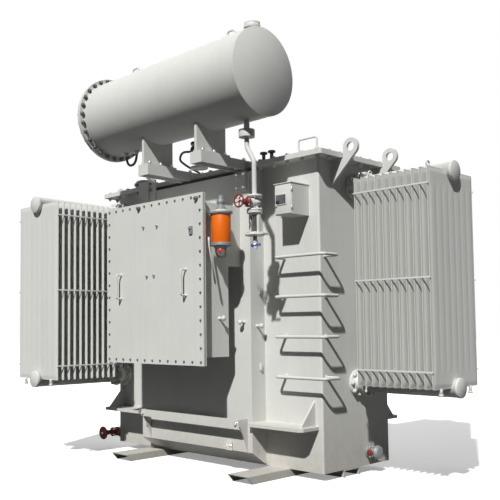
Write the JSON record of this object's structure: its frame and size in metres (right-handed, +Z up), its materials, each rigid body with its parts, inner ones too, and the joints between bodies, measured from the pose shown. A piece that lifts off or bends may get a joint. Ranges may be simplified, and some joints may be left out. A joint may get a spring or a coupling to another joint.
{
  "type": "oil-filled transformer",
  "caption": "Oil-filled electrical transformer: ribbed-bay tank on skids, cable box, horizontal conservator on saddles, plate radiators, breather, drain valves and step rungs.",
  "frame": {"origin": "On the ground under the middle of the tank, which is the middle of the bounding box.", "axes": "+X along the long front side to the right of someone who faces it, +Y from the front with the cable box to the rear, +Z up."},
  "size_m": [3.518, 2.412, 2.835],
  "materials": {
    "breather_paint": "orange body filled with drying granules",
    "cable_rubber": "black sheath",
    "cup_glass": "dark translucent oil cup",
    "handwheel_paint": "dark red paint on cast iron",
    "lever_plastic": "blue plastic sleeve on a steel lever",
    "relay_paint": "black enamel",
    "steel": "plain steel",
    "tank_paint": "semi-gloss warm light grey paint on steel"
  },
  "bodies": {
    "transformer": {"beam_bracket_left": "tank_paint", "beam_bracket_right": "tank_paint", "breather_body": "breather_paint", "breather_cap": "tank_paint", "breather_cup": "cup_glass", "cable_box_body": "tank_paint", "cable_box_cover": "tank_paint", "cable_box_handles": "tank_paint", "conservator_bracket_left": "tank_paint", "conservator_bracket_right": "tank_paint", "conservator_end_cover": "tank_paint", "conservator_loops": "tank_paint", "conservator_saddle_left": "tank_paint", "conservator_saddle_right": "tank_paint", "conservator_shell": "tank_paint", "conservator_stay": "tank_paint", "cover_bail": "tank_paint", "cross_channel": "tank_paint", "drain_cock": "steel", "drain_pipe": "tank_paint", "drain_valve": "tank_paint", "earthing_clamp": "steel", "filler_cap": "tank_paint", "gas_relay": "relay_paint", "gate_valve": "tank_paint", "gauge_cable": "cable_rubber", "haulage_beam": "tank_paint", "instrument_box": "tank_paint", "jacking_pads": "tank_paint", "lifting_lugs_left": "tank_paint", "lifting_lugs_right": "tank_paint", "oil_pipe": "tank_paint", "pressure_relief": "relay_paint", "radiator_headers_front_left": "tank_paint", "radiator_headers_left_end": "tank_paint", "radiator_headers_rear_right": "tank_paint", "radiator_headers_right_end": "tank_paint", "radiator_panels_front_left": "tank_paint", "radiator_panels_left_end": "tank_paint", "radiator_panels_rear_right": "tank_paint", "radiator_panels_right_end": "tank_paint", "sampling_valve": "tank_paint", "sight_glass": "tank_paint", "skid_left": "tank_paint", "skid_right": "tank_paint", "step_rung_1": "tank_paint", "step_rung_2": "tank_paint", "step_rung_3": "tank_paint", "step_rung_4": "tank_paint", "tank_bay_front": "tank_paint", "tank_bay_rear": "tank_paint", "tank_body": "tank_paint", "tank_cover": "tank_paint", "tank_flange": "tank_paint", "thermometer_pockets": "relay_paint"},
    "valve_wheel": {"valve_handwheel": "handwheel_paint"},
    "drain_wheel": {"drain_handwheel": "handwheel_paint"},
    "lever": {"cock_lever": "lever_plastic"}
  },
  "joints": [
    {"name": "valve_wheel_turn", "type": "hinge", "parent": "transformer", "child": "valve_wheel", "pos_m": [0.847, -0.898, 1.704], "axis": [0, -1, 0], "continuous": true},
    {"name": "drain_wheel_turn", "type": "hinge", "parent": "transformer", "child": "drain_wheel", "pos_m": [-1.125, -0.448, 0.11], "axis": [0, -1, 0], "continuous": true},
    {"name": "cock_lever_turn", "type": "hinge", "parent": "transformer", "child": "lever", "pos_m": [0.847, -0.785, 1.444], "axis": [0, 1, 0], "range_deg": [0, 90]}
  ]
}
